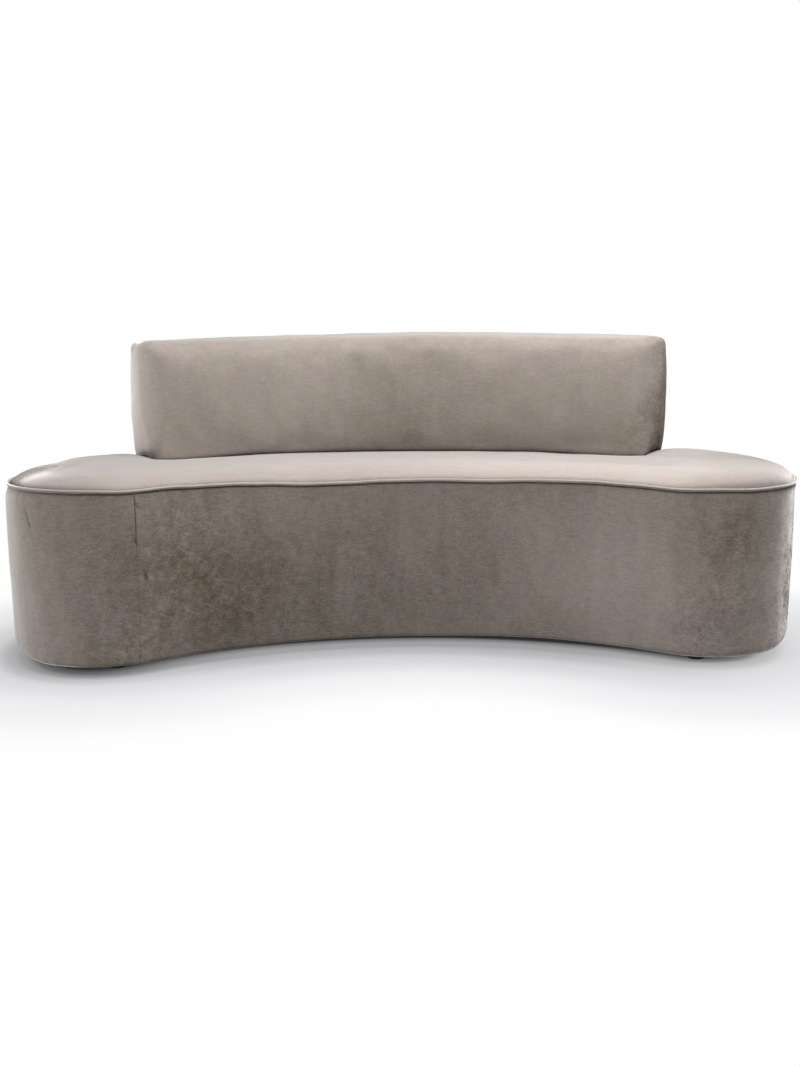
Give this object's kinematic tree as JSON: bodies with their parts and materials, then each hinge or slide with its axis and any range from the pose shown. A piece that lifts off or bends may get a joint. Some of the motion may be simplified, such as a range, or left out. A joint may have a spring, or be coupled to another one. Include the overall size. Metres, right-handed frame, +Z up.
{
  "type": "curved sofa",
  "caption": "Armless kidney-shaped sofa: a curved upholstered base with a piped seat edge, and a low curved back that leans rearwards along the middle of its rear.",
  "frame": {"origin": "on the floor, under the middle of the sofa as seen from above", "axes": "+X to the right of someone who looks at the front, +Y from the front to the rear, +Z up"},
  "size_m": [2.0022, 0.9261, 0.802],
  "materials": {
    "velvet": "taupe velvet with a mottled nap that turns lighter where it catches the light",
    "foam": "cut polyurethane foam",
    "wadding": "polyester wadding",
    "plywood": "unfinished plywood",
    "timber": "planed softwood",
    "webbing": "woven elastic webbing",
    "dust_cloth": "black non-woven cloth",
    "foot_plastic": "moulded black plastic",
    "steel": "zinc-plated steel"
  },
  "bodies": {
    "root": {"seat_cover": "velvet", "base_cover": "velvet", "seat_welt": "velvet", "back_cover": "velvet", "seat_foam": "foam", "back_foam": "foam", "base_side_padding": "wadding", "back_rear_padding": "wadding", "base_bottom_board": "plywood", "seat_deck_board": "plywood", "base_side_board": "plywood", "back_front_panel": "plywood", "back_rear_panel": "plywood", "back_end_board_left": "plywood", "back_end_board_right": "plywood", "base_rib_1": "plywood", "base_rib_2": "plywood", "base_rib_3": "plywood", "base_rib_4": "plywood", "base_rib_5": "plywood", "base_rib_6": "plywood", "base_rib_7": "plywood", "base_rib_8": "plywood", "base_rib_9": "plywood", "back_bottom_rail": "timber", "back_top_rail": "timber", "back_post_1": "timber", "back_post_2": "timber", "back_post_3": "timber", "back_post_4": "timber", "back_block_1": "timber", "back_block_2": "timber", "back_block_3": "timber", "back_block_4": "timber", "seat_strap_1": "webbing", "seat_strap_2": "webbing", "seat_strap_3": "webbing", "seat_strap_4": "webbing", "seat_strap_5": "webbing", "seat_strap_6": "webbing", "seat_strap_7": "webbing", "seat_strap_8": "webbing", "dust_cover": "dust_cloth", "foot_1": "foot_plastic", "foot_2": "foot_plastic", "foot_3": "foot_plastic", "foot_4": "foot_plastic", "foot_5": "foot_plastic", "foot_6": "foot_plastic", "foot_screw_1": "steel", "foot_screw_2": "steel", "foot_screw_3": "steel", "foot_screw_4": "steel", "foot_screw_5": "steel", "foot_screw_6": "steel", "back_bolt_1": "steel", "back_bolt_2": "steel", "back_bolt_3": "steel", "back_bolt_4": "steel"}
  },
  "joints": []
}
